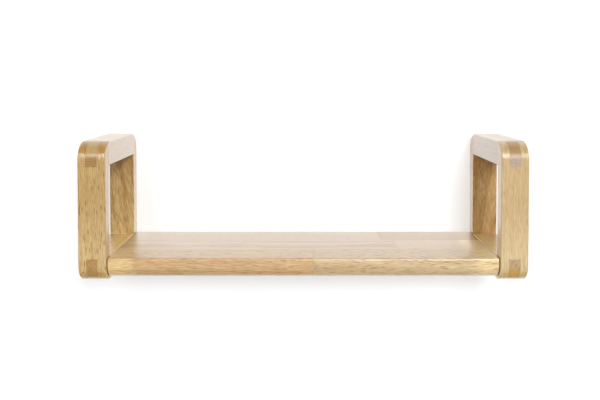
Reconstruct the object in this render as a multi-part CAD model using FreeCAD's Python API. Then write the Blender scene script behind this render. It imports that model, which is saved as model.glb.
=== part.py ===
import FreeCAD, Part
import math
import os

# A small oak wall shelf. Two side frames with rounded corners carry one glued-up board between them.
# +X runs along the board to the right, +Y runs back to the wall, and +Z is up.
# The origin is midway between the frames and midway from front to wall, level with the frames' undersides.
# All lengths are in millimetres.

Vector = FreeCAD.Vector

# Overall sizes
SHELF_WIDTH = 550.0
SHELF_DEPTH = 140.0
FRAME_HEIGHT = 173.0

# Side frames: two posts and two rails each, in corner bridle joints
FRAME_THICKNESS = 34.0
POST_DEPTH = 16.0
RAIL_HEIGHT = 30.0
FRAME_CORNER_RADIUS = 22.0
TENON_THICKNESS = 14.0
GLUE_LINE = 0.1
FRAME_ARRIS = 1.2
OPENING_ARRIS = 0.8

# Board: three rows of staves, each row butted from a left and a right length
BOARD_REVEAL = 3.4
BOARD_EDGE_ROUND = 2.0
BOARD_END_ARRIS = 0.6
FRONT_STAVE_WIDTH = 39.0
MIDDLE_STAVE_WIDTH = 47.0
FRONT_BUTT_PLACE = 13.0
MIDDLE_BUTT_PLACE = 122.5
REAR_BUTT_PLACE = 106.0

# Dowels between the board's ends and the bottom rails
DOWEL_DIAMETER = 8.0
DOWEL_LENGTH = 40.0
DOWEL_FROM_POST = 9.0
DOWEL_CLEARANCE = 0.1
DOWEL_END_CLEARANCE = 1.0

# Keyhole hanger plates, let in flush behind the rear posts
PLATE_WIDTH = 16.0
PLATE_LENGTH = 46.0
PLATE_THICKNESS = 2.0
PLATE_CLEARANCE = 0.15
PLATE_BELOW_JOINT = 8.0
KEYHOLE_DIAMETER = 10.0
KEYHOLE_SLOT_WIDTH = 4.8
KEYHOLE_DROP = 10.0
HEAD_POCKET_DEPTH = 8.0
HEAD_POCKET_MARGIN = 1.0

# Countersunk wood screws that hold the hanger plates
SCREW_SHANK_DIAMETER = 3.5
SCREW_HEAD_DIAMETER = 7.0
SCREW_HEAD_HEIGHT = 1.75
SCREW_LENGTH = 12.0
SCREW_CLEARANCE = 0.1
SCREW_EDGE_DISTANCE = 5.5

# How far a cutting shape runs past the face that it opens, and how near two places count as the same
OVERRUN = 1.0
SAME_PLACE = 0.001

# Places worked out from the sizes above
FRONT_FACE = -SHELF_DEPTH / 2
WALL_FACE = SHELF_DEPTH / 2
FRONT_SHOULDER = FRONT_FACE + POST_DEPTH
REAR_SHOULDER = WALL_FACE - POST_DEPTH
TOP_RAIL_UNDERSIDE = FRAME_HEIGHT - RAIL_HEIGHT
BOARD_END = SHELF_WIDTH / 2 - FRAME_THICKNESS
BOARD_FRONT = FRONT_FACE + BOARD_REVEAL
BOARD_REAR = WALL_FACE - BOARD_REVEAL
FRONT_SEAM = BOARD_FRONT + FRONT_STAVE_WIDTH
REAR_SEAM = FRONT_SEAM + MIDDLE_STAVE_WIDTH
DOWEL_HEIGHT = (BOARD_REVEAL + RAIL_HEIGHT) / 2
PLATE_MIDDLE = TOP_RAIL_UNDERSIDE - PLATE_BELOW_JOINT - PLATE_LENGTH / 2
KEYHOLE_ENTRY = PLATE_MIDDLE - (KEYHOLE_DROP + KEYHOLE_SLOT_WIDTH / 2 - KEYHOLE_DIAMETER / 2) / 2

# The two ends of the shelf, each with its direction along X
SIDES = {"left": -1, "right": 1}


def box(low, high):
    """A box between its lowest and its highest corner."""
    size = high - low
    return Part.makeBox(size.x, size.y, size.z, low)


def closed_face(edges):
    """The flat face inside a closed run of edges."""
    return Part.Face(Part.Wire(edges))


def rounded_panel(low, high, low_radius, high_radius):
    """A block whose edges along X are rounded: the lower two by one radius, the upper two by another."""
    inset_share = 1 - math.cos(math.radians(45))
    corners = [
        (low.y, low.z, 1, 1, low_radius),
        (high.y, low.z, -1, 1, low_radius),
        (high.y, high.z, -1, -1, high_radius),
        (low.y, high.z, 1, -1, high_radius),
    ]
    arcs = []
    for index, (y, z, inward_y, inward_z, radius) in enumerate(corners):
        on_upright = Vector(low.x, y, z + inward_z * radius)
        on_level = Vector(low.x, y + inward_y * radius, z)
        inset = radius * inset_share
        middle = Vector(low.x, y + inward_y * inset, z + inward_z * inset)
        start, end = (on_upright, on_level) if index % 2 == 0 else (on_level, on_upright)
        arcs.append((start, middle, end))
    edges = []
    for arc, following in zip(arcs, arcs[1:] + arcs[:1]):
        edges.append(Part.Arc(*arc).toShape())
        edges.append(Part.LineSegment(arc[2], following[0]).toShape())
    return closed_face(edges).extrude(Vector(high.x - low.x, 0, 0))


def upright_slot(middle, width, length, depth):
    """A round-ended bar, upright against the wall plane, that runs forward from its middle point by a depth."""
    radius = width / 2
    reach = Vector(0, 0, length / 2 - radius)
    sideways = Vector(radius, 0, 0)
    tip = Vector(0, 0, length / 2)
    face = closed_face([
        Part.Arc(middle - reach - sideways, middle - tip, middle - reach + sideways).toShape(),
        Part.LineSegment(middle - reach + sideways, middle + reach + sideways).toShape(),
        Part.Arc(middle + reach + sideways, middle + tip, middle + reach - sideways).toShape(),
        Part.LineSegment(middle + reach - sideways, middle - reach - sideways).toShape(),
    ])
    return face.extrude(Vector(0, -depth, 0))


def outline_edges(block):
    """The edges that lie in a plane square to X."""
    return [edge for edge in block.Edges if edge.BoundBox.XLength < SAME_PLACE]


def frame_middle(side):
    """Where the middle of a side frame lies along X."""
    return SIDES[side] * (SHELF_WIDTH - FRAME_THICKNESS) / 2


def frame_block(side):
    """A whole side frame before it is split at its joints, with its corners rounded and its edges eased."""
    half = Vector(FRAME_THICKNESS / 2, 0, 0)
    middle = Vector(frame_middle(side), 0, 0)
    block = rounded_panel(
        middle - half + Vector(0, FRONT_FACE, 0),
        middle + half + Vector(0, WALL_FACE, FRAME_HEIGHT),
        FRAME_CORNER_RADIUS,
        FRAME_CORNER_RADIUS,
    )
    block = block.makeChamfer(FRAME_ARRIS, outline_edges(block))
    through = half + Vector(OVERRUN, 0, 0)
    opening = box(
        middle - through + Vector(0, FRONT_SHOULDER, RAIL_HEIGHT),
        middle + through + Vector(0, REAR_SHOULDER, TOP_RAIL_UNDERSIDE),
    )
    block = block.cut(opening)
    around_opening = opening.BoundBox
    around_opening.enlarge(SAME_PLACE)
    rim = [edge for edge in outline_edges(block) if around_opening.isInside(edge.CenterOfMass)]
    return block.makeChamfer(OPENING_ARRIS, rim)


def post(side, low_y, high_y):
    """A post between two places along Y. The open mortises in its two ends take the rails' tenons."""
    middle = frame_middle(side)
    across = FRAME_THICKNESS / 2 + OVERRUN
    blank = box(Vector(middle - across, low_y, -OVERRUN), Vector(middle + across, high_y, FRAME_HEIGHT + OVERRUN))
    half_mortise = TENON_THICKNESS / 2 + GLUE_LINE
    for low_z, high_z in ((-OVERRUN, RAIL_HEIGHT), (TOP_RAIL_UNDERSIDE, FRAME_HEIGHT + OVERRUN)):
        mortise = box(
            Vector(middle - half_mortise, low_y - OVERRUN, low_z),
            Vector(middle + half_mortise, high_y + OVERRUN, high_z),
        )
        blank = blank.cut(mortise)
    return frame_block(side).common(blank)


def rail(side, low_z, high_z):
    """A rail between two heights. Its two tenons run through the posts and show on their outer faces."""
    middle = frame_middle(side)
    across = FRAME_THICKNESS / 2 + OVERRUN
    body = box(Vector(middle - across, FRONT_SHOULDER, low_z), Vector(middle + across, REAR_SHOULDER, high_z))
    tenons = box(
        Vector(middle - TENON_THICKNESS / 2, FRONT_FACE - OVERRUN, low_z),
        Vector(middle + TENON_THICKNESS / 2, WALL_FACE + OVERRUN, high_z),
    )
    return frame_block(side).common(body.fuse(tenons))


def front_post(side):
    """The post at the front of a side frame."""
    return post(side, FRONT_FACE - OVERRUN, FRONT_SHOULDER)


def top_rail(side):
    """The rail across the top of a side frame."""
    return rail(side, TOP_RAIL_UNDERSIDE, FRAME_HEIGHT + OVERRUN)


def dowel_places(side):
    """The middle of each dowel at one end of the board: beside each post, and halfway between."""
    return [
        Vector(SIDES[side] * BOARD_END, y, DOWEL_HEIGHT)
        for y in (FRONT_SHOULDER + DOWEL_FROM_POST, 0, REAR_SHOULDER - DOWEL_FROM_POST)
    ]


def bar_along_x(middle, diameter, length):
    """A round bar along X about its middle."""
    start = middle - Vector(length / 2, 0, 0)
    return Part.makeCylinder(diameter / 2, length, start, Vector(1, 0, 0))


def dowel_hole(place):
    """The space that one dowel takes up, half of it in the board and half in the rail."""
    return bar_along_x(
        place,
        DOWEL_DIAMETER + 2 * DOWEL_CLEARANCE,
        DOWEL_LENGTH + 2 * DOWEL_END_CLEARANCE,
    )


def dowels(side):
    """The dowels at one end of the board."""
    return Part.makeCompound([bar_along_x(place, DOWEL_DIAMETER, DOWEL_LENGTH) for place in dowel_places(side)])


def bottom_rail(side):
    """The rail under the board's end, bored for the dowels."""
    bored = rail(side, -OVERRUN, RAIL_HEIGHT)
    for place in dowel_places(side):
        bored = bored.cut(dowel_hole(place))
    return bored


def board_block():
    """The whole glued board before it is split into staves. Its lower edges follow the frames' corners."""
    block = rounded_panel(
        Vector(-BOARD_END, BOARD_FRONT, BOARD_REVEAL),
        Vector(BOARD_END, BOARD_REAR, RAIL_HEIGHT),
        FRAME_CORNER_RADIUS - BOARD_REVEAL,
        BOARD_EDGE_ROUND,
    )
    block = block.makeChamfer(BOARD_END_ARRIS, outline_edges(block))
    for side in SIDES:
        for place in dowel_places(side):
            block = block.cut(dowel_hole(place))
    return block


def staves():
    """The board's staves by name: three rows, and in each row a left and a right length."""
    rows = {
        "front": (BOARD_FRONT - OVERRUN, FRONT_SEAM, FRONT_BUTT_PLACE),
        "middle": (FRONT_SEAM, REAR_SEAM, MIDDLE_BUTT_PLACE),
        "rear": (REAR_SEAM, BOARD_REAR + OVERRUN, REAR_BUTT_PLACE),
    }
    block = board_block()
    past_end = BOARD_END + OVERRUN
    named = {}
    for row, (low_y, high_y, butt) in rows.items():
        for side, low_x, high_x in (("left", -past_end, butt), ("right", butt, past_end)):
            region = box(Vector(low_x, low_y, 0), Vector(high_x, high_y, RAIL_HEIGHT + OVERRUN))
            named[f"shelf_{row}_stave_{side}"] = block.common(region)
    return named


def plate_screw_places(side):
    """The middle of each screw head on a hanger plate, on the plate's wall face."""
    reach = PLATE_LENGTH / 2 - SCREW_EDGE_DISTANCE
    return [Vector(frame_middle(side), WALL_FACE, PLATE_MIDDLE + way * reach) for way in (-1, 1)]


def screw_shape(place, clearance, proud):
    """A countersunk screw widened by a clearance, with its head drawn out past the wall face."""
    head = SCREW_HEAD_DIAMETER / 2 + clearance
    shank = SCREW_SHANK_DIAMETER / 2 + clearance
    length = SCREW_LENGTH + clearance
    outline = [(0, proud), (head, proud), (head, 0), (shank, -SCREW_HEAD_HEIGHT), (shank, -length), (0, -length)]
    points = [place + Vector(radius, y, 0) for radius, y in outline]
    edges = [
        Part.LineSegment(start, end).toShape()
        for start, end in zip(points, points[1:] + points[:1])
        if start != end
    ]
    return closed_face(edges).revolve(place, Vector(0, 1, 0), 360)


def hanger_screws(side):
    """The two screws of one hanger plate, plain of thread and drive."""
    return Part.makeCompound([screw_shape(place, 0, 0) for place in plate_screw_places(side)])


def keyhole(side):
    """The cut through a hanger plate: a round entry for the wall screw's head, and a narrow slot above it."""
    start = Vector(frame_middle(side), WALL_FACE + OVERRUN, KEYHOLE_ENTRY)
    depth = PLATE_THICKNESS + 2 * OVERRUN
    entry = Part.makeCylinder(KEYHOLE_DIAMETER / 2, depth, start, Vector(0, -1, 0))
    slot_length = KEYHOLE_DROP + KEYHOLE_SLOT_WIDTH
    slot = upright_slot(start + Vector(0, 0, KEYHOLE_DROP / 2), KEYHOLE_SLOT_WIDTH, slot_length, depth)
    return entry.fuse(slot)


def hanger_plate(side):
    """A steel keyhole plate, flush with the wall face of its post."""
    middle = Vector(frame_middle(side), WALL_FACE, PLATE_MIDDLE)
    plate = upright_slot(middle, PLATE_WIDTH, PLATE_LENGTH, PLATE_THICKNESS)
    plate = plate.cut(keyhole(side))
    for place in plate_screw_places(side):
        plate = plate.cut(screw_shape(place, SCREW_CLEARANCE, OVERRUN))
    return plate


def rear_post(side):
    """The post against the wall, let in for the hanger plate, with a pocket behind it for the wall screw's head."""
    let_in = upright_slot(
        Vector(frame_middle(side), WALL_FACE + OVERRUN, PLATE_MIDDLE),
        PLATE_WIDTH + 2 * PLATE_CLEARANCE,
        PLATE_LENGTH + 2 * PLATE_CLEARANCE,
        PLATE_THICKNESS + OVERRUN,
    )
    pocket_width = KEYHOLE_DIAMETER + 2 * HEAD_POCKET_MARGIN
    pocket = upright_slot(
        Vector(frame_middle(side), WALL_FACE, KEYHOLE_ENTRY + KEYHOLE_DROP / 2),
        pocket_width,
        pocket_width + KEYHOLE_DROP,
        PLATE_THICKNESS + HEAD_POCKET_DEPTH,
    )
    shaped = post(side, REAR_SHOULDER, WALL_FACE + OVERRUN).cut(let_in).cut(pocket)
    for place in plate_screw_places(side):
        shaped = shaped.cut(screw_shape(place, SCREW_CLEARANCE, OVERRUN))
    return shaped


def sub_parts():
    """Every sub-part of the shelf by name."""
    named = staves()
    makers = {
        "front_post": front_post,
        "rear_post": rear_post,
        "top_rail": top_rail,
        "bottom_rail": bottom_rail,
        "shelf_dowels": dowels,
        "hanger_plate": hanger_plate,
        "hanger_screws": hanger_screws,
    }
    for side in SIDES:
        for name, make in makers.items():
            named[f"{side}_{name}"] = make(side)
    return named


os.makedirs("parts", exist_ok=True)
for name, shape in sub_parts().items():
    shape.exportStep(f"parts/{name}.step")
    print(f"{name}: {len(shape.Solids)} solid(s), {shape.Volume:.1f} mm3, valid {shape.isValid()}")
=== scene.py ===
"""The finish and the studio for a small oak wall shelf.

The shelf hangs on a wall by two keyhole plates. Two side frames with rounded corners carry one glued-up board.
Every length in this file is in millimetres unless its name says otherwise, and MM turns it into metres.
"""

from __future__ import annotations

import logging
import math
from dataclasses import dataclass
from enum import Enum, IntEnum, StrEnum
from functools import partial
from typing import Any, Callable, Iterable, Sequence

import bmesh
import bpy
from bpy.types import Material, Mesh, Node, NodeSocket, NodeTree, Object
from mathutils import Euler, Matrix, Vector

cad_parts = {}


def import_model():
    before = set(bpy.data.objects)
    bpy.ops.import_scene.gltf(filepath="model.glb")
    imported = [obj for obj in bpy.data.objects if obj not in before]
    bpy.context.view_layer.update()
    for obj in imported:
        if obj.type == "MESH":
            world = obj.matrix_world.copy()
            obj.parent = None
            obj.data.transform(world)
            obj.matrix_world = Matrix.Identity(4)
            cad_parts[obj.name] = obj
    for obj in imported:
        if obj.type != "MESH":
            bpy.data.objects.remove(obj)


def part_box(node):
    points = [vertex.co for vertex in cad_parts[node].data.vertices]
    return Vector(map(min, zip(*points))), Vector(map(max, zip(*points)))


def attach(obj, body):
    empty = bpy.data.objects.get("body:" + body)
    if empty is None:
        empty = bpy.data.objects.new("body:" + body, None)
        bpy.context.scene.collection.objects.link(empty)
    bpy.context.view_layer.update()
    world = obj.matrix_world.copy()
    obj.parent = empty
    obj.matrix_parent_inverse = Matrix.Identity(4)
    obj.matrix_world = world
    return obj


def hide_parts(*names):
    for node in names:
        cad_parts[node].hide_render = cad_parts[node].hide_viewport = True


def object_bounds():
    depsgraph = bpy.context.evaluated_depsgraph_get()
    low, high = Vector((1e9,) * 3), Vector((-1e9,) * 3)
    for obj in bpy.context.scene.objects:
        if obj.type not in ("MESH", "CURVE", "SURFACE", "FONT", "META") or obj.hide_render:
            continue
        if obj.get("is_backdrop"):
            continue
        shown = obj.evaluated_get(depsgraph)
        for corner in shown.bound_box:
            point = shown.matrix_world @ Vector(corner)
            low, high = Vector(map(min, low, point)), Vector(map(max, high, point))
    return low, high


log = logging.getLogger("wall_shelf")

# add_node for one tree, and three numbers, which stand for X, Y and Z unless a name says otherwise.
Add = Callable[..., Node]
Triple = tuple[float, float, float]

MM = 0.001
BODY = "root"
# How far a cutting shape runs past what it cuts, and how near two points are taken to be one.
OVERRUN = 1.0
SAME_PLACE = 0.001
# An edge that turns by more than this, in radians, is one that sanding rounds.
SHARP_TURN = 1.0
# How finely round things are drawn: how many sides a hole has, and how many sides and rings a dowel and a screw have.
HOLE_SIDES = 48
DOWEL_MESH = {"Vertices": 144, "Side Segments": 40}
SCREW_MESH = {"Vertices": 40, "Side Segments": 110}
# The refractive index of wood's own substance and of the lacquer over it.
WOOD_IOR = 1.5

# The types of node in use most. A range's inputs are, in order, its value, from, to, and the results at both.
MATH = "ShaderNodeMath"
VECTOR = "ShaderNodeVectorMath"
RANGE = "ShaderNodeMapRange"
NOISE = "ShaderNodeTexNoise"
MIX = "ShaderNodeMix"
MAPPING = "ShaderNodeMapping"
JOIN_XYZ = "ShaderNodeCombineXYZ"
SPLIT_XYZ = "ShaderNodeSeparateXYZ"
TRANSFORM = "GeometryNodeTransform"
SMOOTH = {"interpolation_type": "SMOOTHSTEP"}
COLOURS = {"data_type": "RGBA"}
WHITE = (1.0, 1.0, 1.0, 1.0)

# The inputs of the oak's figure that a piece's finish fills in from its fields of the same names.
TINTS = ("Wood", "Second wood", "Dark tint", "Fibre tint", "Pore tint")
AMOUNTS = ("Ring width", "Wander", "Ring strength", "Pore share", "Pore strength", "Streak strength", "Fibre strength",
           "End ring strength")


class Axis(IntEnum):
    """The shelf's axes, by their place in a vector: to the right, back to the wall, and up."""

    X = 0
    Y = 1
    Z = 2


class Side(StrEnum):
    """The two ends of the shelf, as the names of its parts give them."""

    LEFT = "left"
    RIGHT = "right"


class Row(StrEnum):
    """The board's three rows of staves, as their names give them."""

    FRONT = "front"
    MIDDLE = "middle"
    REAR = "rear"


def linear_colour(code: str) -> tuple[float, float, float, float]:
    """Turns an sRGB hex colour into the linear values that a shader takes.

    Args:
        code: Six hex digits after a number sign.

    Returns:
        Red, green, blue and an alpha of one.
    """
    shares = [int(code[start:start + 2], 16) / 255 for start in (1, 3, 5)]
    red, green, blue = [s / 12.92 if s <= 0.04045 else ((s + 0.055) / 1.055) ** 2.4 for s in shares]
    return red, green, blue, 1.0


def add_node(tree: NodeTree, kind: str, inputs: dict[Any, Any] | list[Any] | None = None, **settings: Any) -> Node:
    """Adds one node to a tree with its settings, values and links.

    Args:
        tree: The tree that gets the node.
        kind: Blender's name for the type of node.
        inputs: What goes to each input in use, by its name or number, or as a list from the first input on: a value,
            an output, a node whose first output is meant, or a list of these for an input that takes several.
        **settings: The node's own properties.

    Returns:
        The new node.
    """
    node = tree.nodes.new(kind)
    for name, value in settings.items():
        setattr(node, name, value)
    by_key = dict(enumerate(inputs)) if isinstance(inputs, list) else inputs or {}
    for key, given in by_key.items():
        named = (each for each in node.inputs if each.enabled and each.name == key)
        socket = node.inputs[key] if isinstance(key, int) else next(named)
        for value in given if isinstance(given, list) else [given]:
            if isinstance(value, Node):
                value = next(each for each in value.outputs if each.enabled)
            if isinstance(value, NodeSocket):
                tree.links.new(value, socket)
            else:
                socket.default_value = value
    return node


def fields_of(source: Any, labels: Iterable[str]) -> dict[str, Any]:
    """The fields of a finish or a part, by the labels of the inputs that they go to."""
    return {label: getattr(source, label.lower().replace(" ", "_")) for label in labels}


def new_group(name: str, kind: str, inputs: dict[str, str], outputs: dict[str, str]) -> tuple[NodeTree, Add, Any]:
    """Makes a node group with named inputs and outputs.

    Args:
        name: The group's name.
        kind: Blender's name for the type of tree.
        inputs: The type of each input, by its name.
        outputs: The type of each output, by its name.

    Returns:
        The group, add_node for it, and what its inputs are given.
    """
    tree = bpy.data.node_groups.new(name, kind)
    for direction, sockets in (("INPUT", inputs), ("OUTPUT", outputs)):
        for label, sort in sockets.items():
            tree.interface.new_socket(label, in_out=direction, socket_type=f"NodeSocket{sort}")
    return tree, partial(add_node, tree), tree.nodes.new("NodeGroupInput").outputs


def new_material(name: str) -> tuple[Material, Add]:
    """Makes a material whose node tree is still empty.

    Args:
        name: The material's name.

    Returns:
        The material, and add_node for its tree.
    """
    made = bpy.data.materials.new(name)
    made.use_nodes = True
    made.node_tree.nodes.clear()
    return made, partial(add_node, made.node_tree)


def new_object(name: str, mesh: Mesh) -> Object:
    """Puts a mesh into the scene as an object at the origin.

    Args:
        name: The object's name.
        mesh: Its mesh.

    Returns:
        The object.
    """
    made = bpy.data.objects.new(name, mesh)
    bpy.context.scene.collection.objects.link(made)
    return made


def discard(piece: Object) -> None:
    """Removes a blank or a cutting shape along with its mesh."""
    bpy.data.meshes.remove(piece.data)


def settle(piece: Object) -> Object:
    """Turns the result of a piece's modifiers into its plain mesh, and removes them.

    Args:
        piece: The object whose modifiers are done with.

    Returns:
        The same object.
    """
    bpy.context.view_layer.update()
    depsgraph = bpy.context.evaluated_depsgraph_get()
    result = piece.evaluated_get(depsgraph)
    shaped = bpy.data.meshes.new_from_object(result, preserve_all_data_layers=True, depsgraph=depsgraph)
    before = piece.data
    piece.modifiers.clear()
    piece.data = shaped
    bpy.data.meshes.remove(before)
    shaped.name = piece.name
    return piece


def grow(name: str, tree: NodeTree, values: dict[str, Any]) -> Object:
    """Makes a plain mesh object from a Geometry Nodes tree.

    Args:
        name: The object's name.
        tree: The tree that makes its mesh.
        values: What each named input of the tree gets.

    Returns:
        The object, with no modifier left on it.
    """
    piece = new_object(name, bpy.data.meshes.new(name))
    modifier = piece.modifiers.new("form", "NODES")
    modifier.node_group = tree
    for item in tree.interface.items_tree:
        if item.in_out == "INPUT" and item.name in values:
            modifier[item.identifier] = values[item.name]
    return settle(piece)


def mesh_from(shape: bmesh.types.BMesh, mesh: Mesh | None = None) -> Mesh:
    """Writes a bmesh to a mesh and frees it.

    Args:
        shape: The bmesh, which is used up.
        mesh: The mesh that is written over, or none for a new one.

    Returns:
        The written mesh.
    """
    written = mesh or bpy.data.meshes.new("shape")
    shape.to_mesh(written)
    shape.free()
    return written


def box_mesh(low: Vector, high: Vector) -> Mesh:
    """Makes a box.

    Args:
        low: Its lowest corner.
        high: Its highest corner.

    Returns:
        The closed mesh.
    """
    shape = bmesh.new()
    bmesh.ops.create_cube(shape, size=1)
    place = Matrix.Translation((low + high) / 2) @ Matrix.Diagonal((*(high - low), 1))
    bmesh.ops.transform(shape, matrix=place, verts=shape.verts)
    return mesh_from(shape)


def slot_mesh(width: float, height: float, start: Vector, reach: float, steps: int = 16) -> Mesh:
    """Makes a prism along Y whose outline is an upright slot with round ends.

    Args:
        width: The slot's width, which is twice its end radius.
        height: Its whole height.
        start: The middle of the slot where the prism starts.
        reach: How far the prism runs along Y.
        steps: How many straight lines each round end is drawn with.

    Returns:
        The closed mesh.
    """
    radius = width / 2
    straight = height / 2 - radius
    shape = bmesh.new()
    corners = []
    for end, first in ((1, 0), (-1, 1)):
        for step in range(steps + 1):
            angle = math.pi * (step / steps + first)
            offset = Vector((radius * math.cos(angle), 0, end * straight + radius * math.sin(angle)))
            corners.append(shape.verts.new(start + offset))
    grown = bmesh.ops.extrude_face_region(shape, geom=[shape.faces.new(corners)])
    moved = [item for item in grown["geom"] if isinstance(item, bmesh.types.BMVert)]
    bmesh.ops.translate(shape, vec=Vector((0, reach, 0)), verts=moved)
    bmesh.ops.recalc_face_normals(shape, faces=shape.faces)
    return mesh_from(shape)


def bar_mesh(start: Vector, end: Vector, radius: float, end_radius: float | None = None) -> Mesh:
    """Makes a round bar, or a cone where the radius at its end differs.

    Args:
        start: The middle of the bar's first end.
        end: The middle of its other end.
        radius: The radius at the start.
        end_radius: The radius at the end, the same as at the start if it is left out.

    Returns:
        The closed mesh.
    """
    shape = bmesh.new()
    turn = Vector((0, 0, 1)).rotation_difference(end - start).to_matrix().to_4x4()
    bmesh.ops.create_cone(
        shape, cap_ends=True, segments=HOLE_SIDES, radius1=radius, radius2=radius if end_radius is None else end_radius,
        depth=(end - start).length, matrix=Matrix.Translation((start + end) / 2) @ turn,
    )
    return mesh_from(shape)


class Cut(Enum):
    """What a cutting shape does to a piece."""

    KEEP = "INTERSECT"
    REMOVE = "DIFFERENCE"


def carve(piece: Object, cut: Cut, tools: Iterable[Mesh]) -> Object:
    """Cuts a piece with several shapes, one after another.

    Args:
        piece: The object that is cut.
        cut: Whether the part inside each shape is kept or removed.
        tools: The cutting shapes' meshes, which are used up.

    Returns:
        The same object.
    """
    for tool in tools:
        cutter = new_object("cutter", tool)
        modifier = piece.modifiers.new("cut", "BOOLEAN")
        modifier.operation = cut.value
        modifier.solver = "EXACT"
        modifier.object = cutter
        settle(piece)
        discard(cutter)
    return piece


def copy_of(piece: Object, name: str) -> Object:
    """Makes a second object with a mesh of its own."""
    return new_object(name, piece.data.copy())


def hand_in(piece: Object, material: Material, node: str, sharp_over_deg: float = 35.0) -> None:
    """Shades a finished piece, with flat faces kept flat, dresses it and ties it to the frame.

    Args:
        piece: The finished object, with no modifiers left.
        material: Its finish.
        node: The CAD node that it stands for.
        sharp_over_deg: Edges that turn by more than this stay sharp.
    """
    shape = bmesh.new()
    shape.from_mesh(piece.data)
    bmesh.ops.remove_doubles(shape, verts=shape.verts, dist=SAME_PLACE * MM)
    bmesh.ops.dissolve_degenerate(shape, edges=shape.edges, dist=SAME_PLACE * MM)
    mesh_from(shape, piece.data)
    piece.data.shade_smooth()
    piece.data.set_sharp_from_angle(angle=math.radians(sharp_over_deg))
    piece.modifiers.new("flat faces stay flat", "WEIGHTED_NORMAL").keep_sharp = True
    settle(piece)
    piece.data.materials.clear()
    piece.data.materials.append(material)
    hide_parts(node)
    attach(piece, BODY)
    log.info("%s: %d faces, %s", piece.name, len(piece.data.polygons), material.name)


@dataclass(frozen=True)
class Arris:
    """How far an edge is rounded off by sanding, in millimetres, and how finely the rounding is drawn."""

    radius: float
    steps: int = 4

    def round_off(self, piece: Object, wanted: Callable[[bmesh.types.BMEdge], bool]) -> None:
        """Rounds the edges of a piece that turn sharply and that a test picks.

        Args:
            piece: The object whose mesh is changed.
            wanted: A function that takes an edge and says whether it is rounded.
        """
        shape = bmesh.new()
        shape.from_mesh(piece.data)
        sharp = (edge for edge in shape.edges if edge.is_manifold and edge.calc_face_angle() > SHARP_TURN)
        edges = [edge for edge in sharp if wanted(edge)]
        bmesh.ops.bevel(
            shape, geom=edges, offset=self.radius * MM, offset_type="OFFSET", segments=self.steps, profile=0.5,
            affect="EDGES", clamp_overlap=False,
        )
        mesh_from(shape, piece.data)


def square_to(axis: Axis) -> Callable[[bmesh.types.BMEdge], bool]:
    """A test of whether an edge lies in a plane square to an axis."""
    return lambda edge: abs(edge.verts[0].co[axis] - edge.verts[1].co[axis]) < SAME_PLACE * MM


class Grain(Enum):
    """Which way a piece's grain runs, with the turn in degrees that lays it along a pattern's Z axis."""

    ALONG_X = ((1, 0, 0), (0, -90, 0))
    ALONG_Y = ((0, 1, 0), (90, 0, 0))
    ALONG_Z = ((0, 0, 1), (0, 0, 0))

    @property
    def axis(self) -> Vector:
        """The direction of the grain on the shelf."""
        return Vector(self.value[0])

    @property
    def turn(self) -> Euler:
        """The turn that lays the grain along Z."""
        return Euler([math.radians(angle) for angle in self.value[1]])


@dataclass(frozen=True)
class Cloud:
    """A soft noise. Its scale is how often it comes back in a millimetre, across the grain twice and then along it."""

    scale: Triple
    detail: float
    roughness: float


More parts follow.
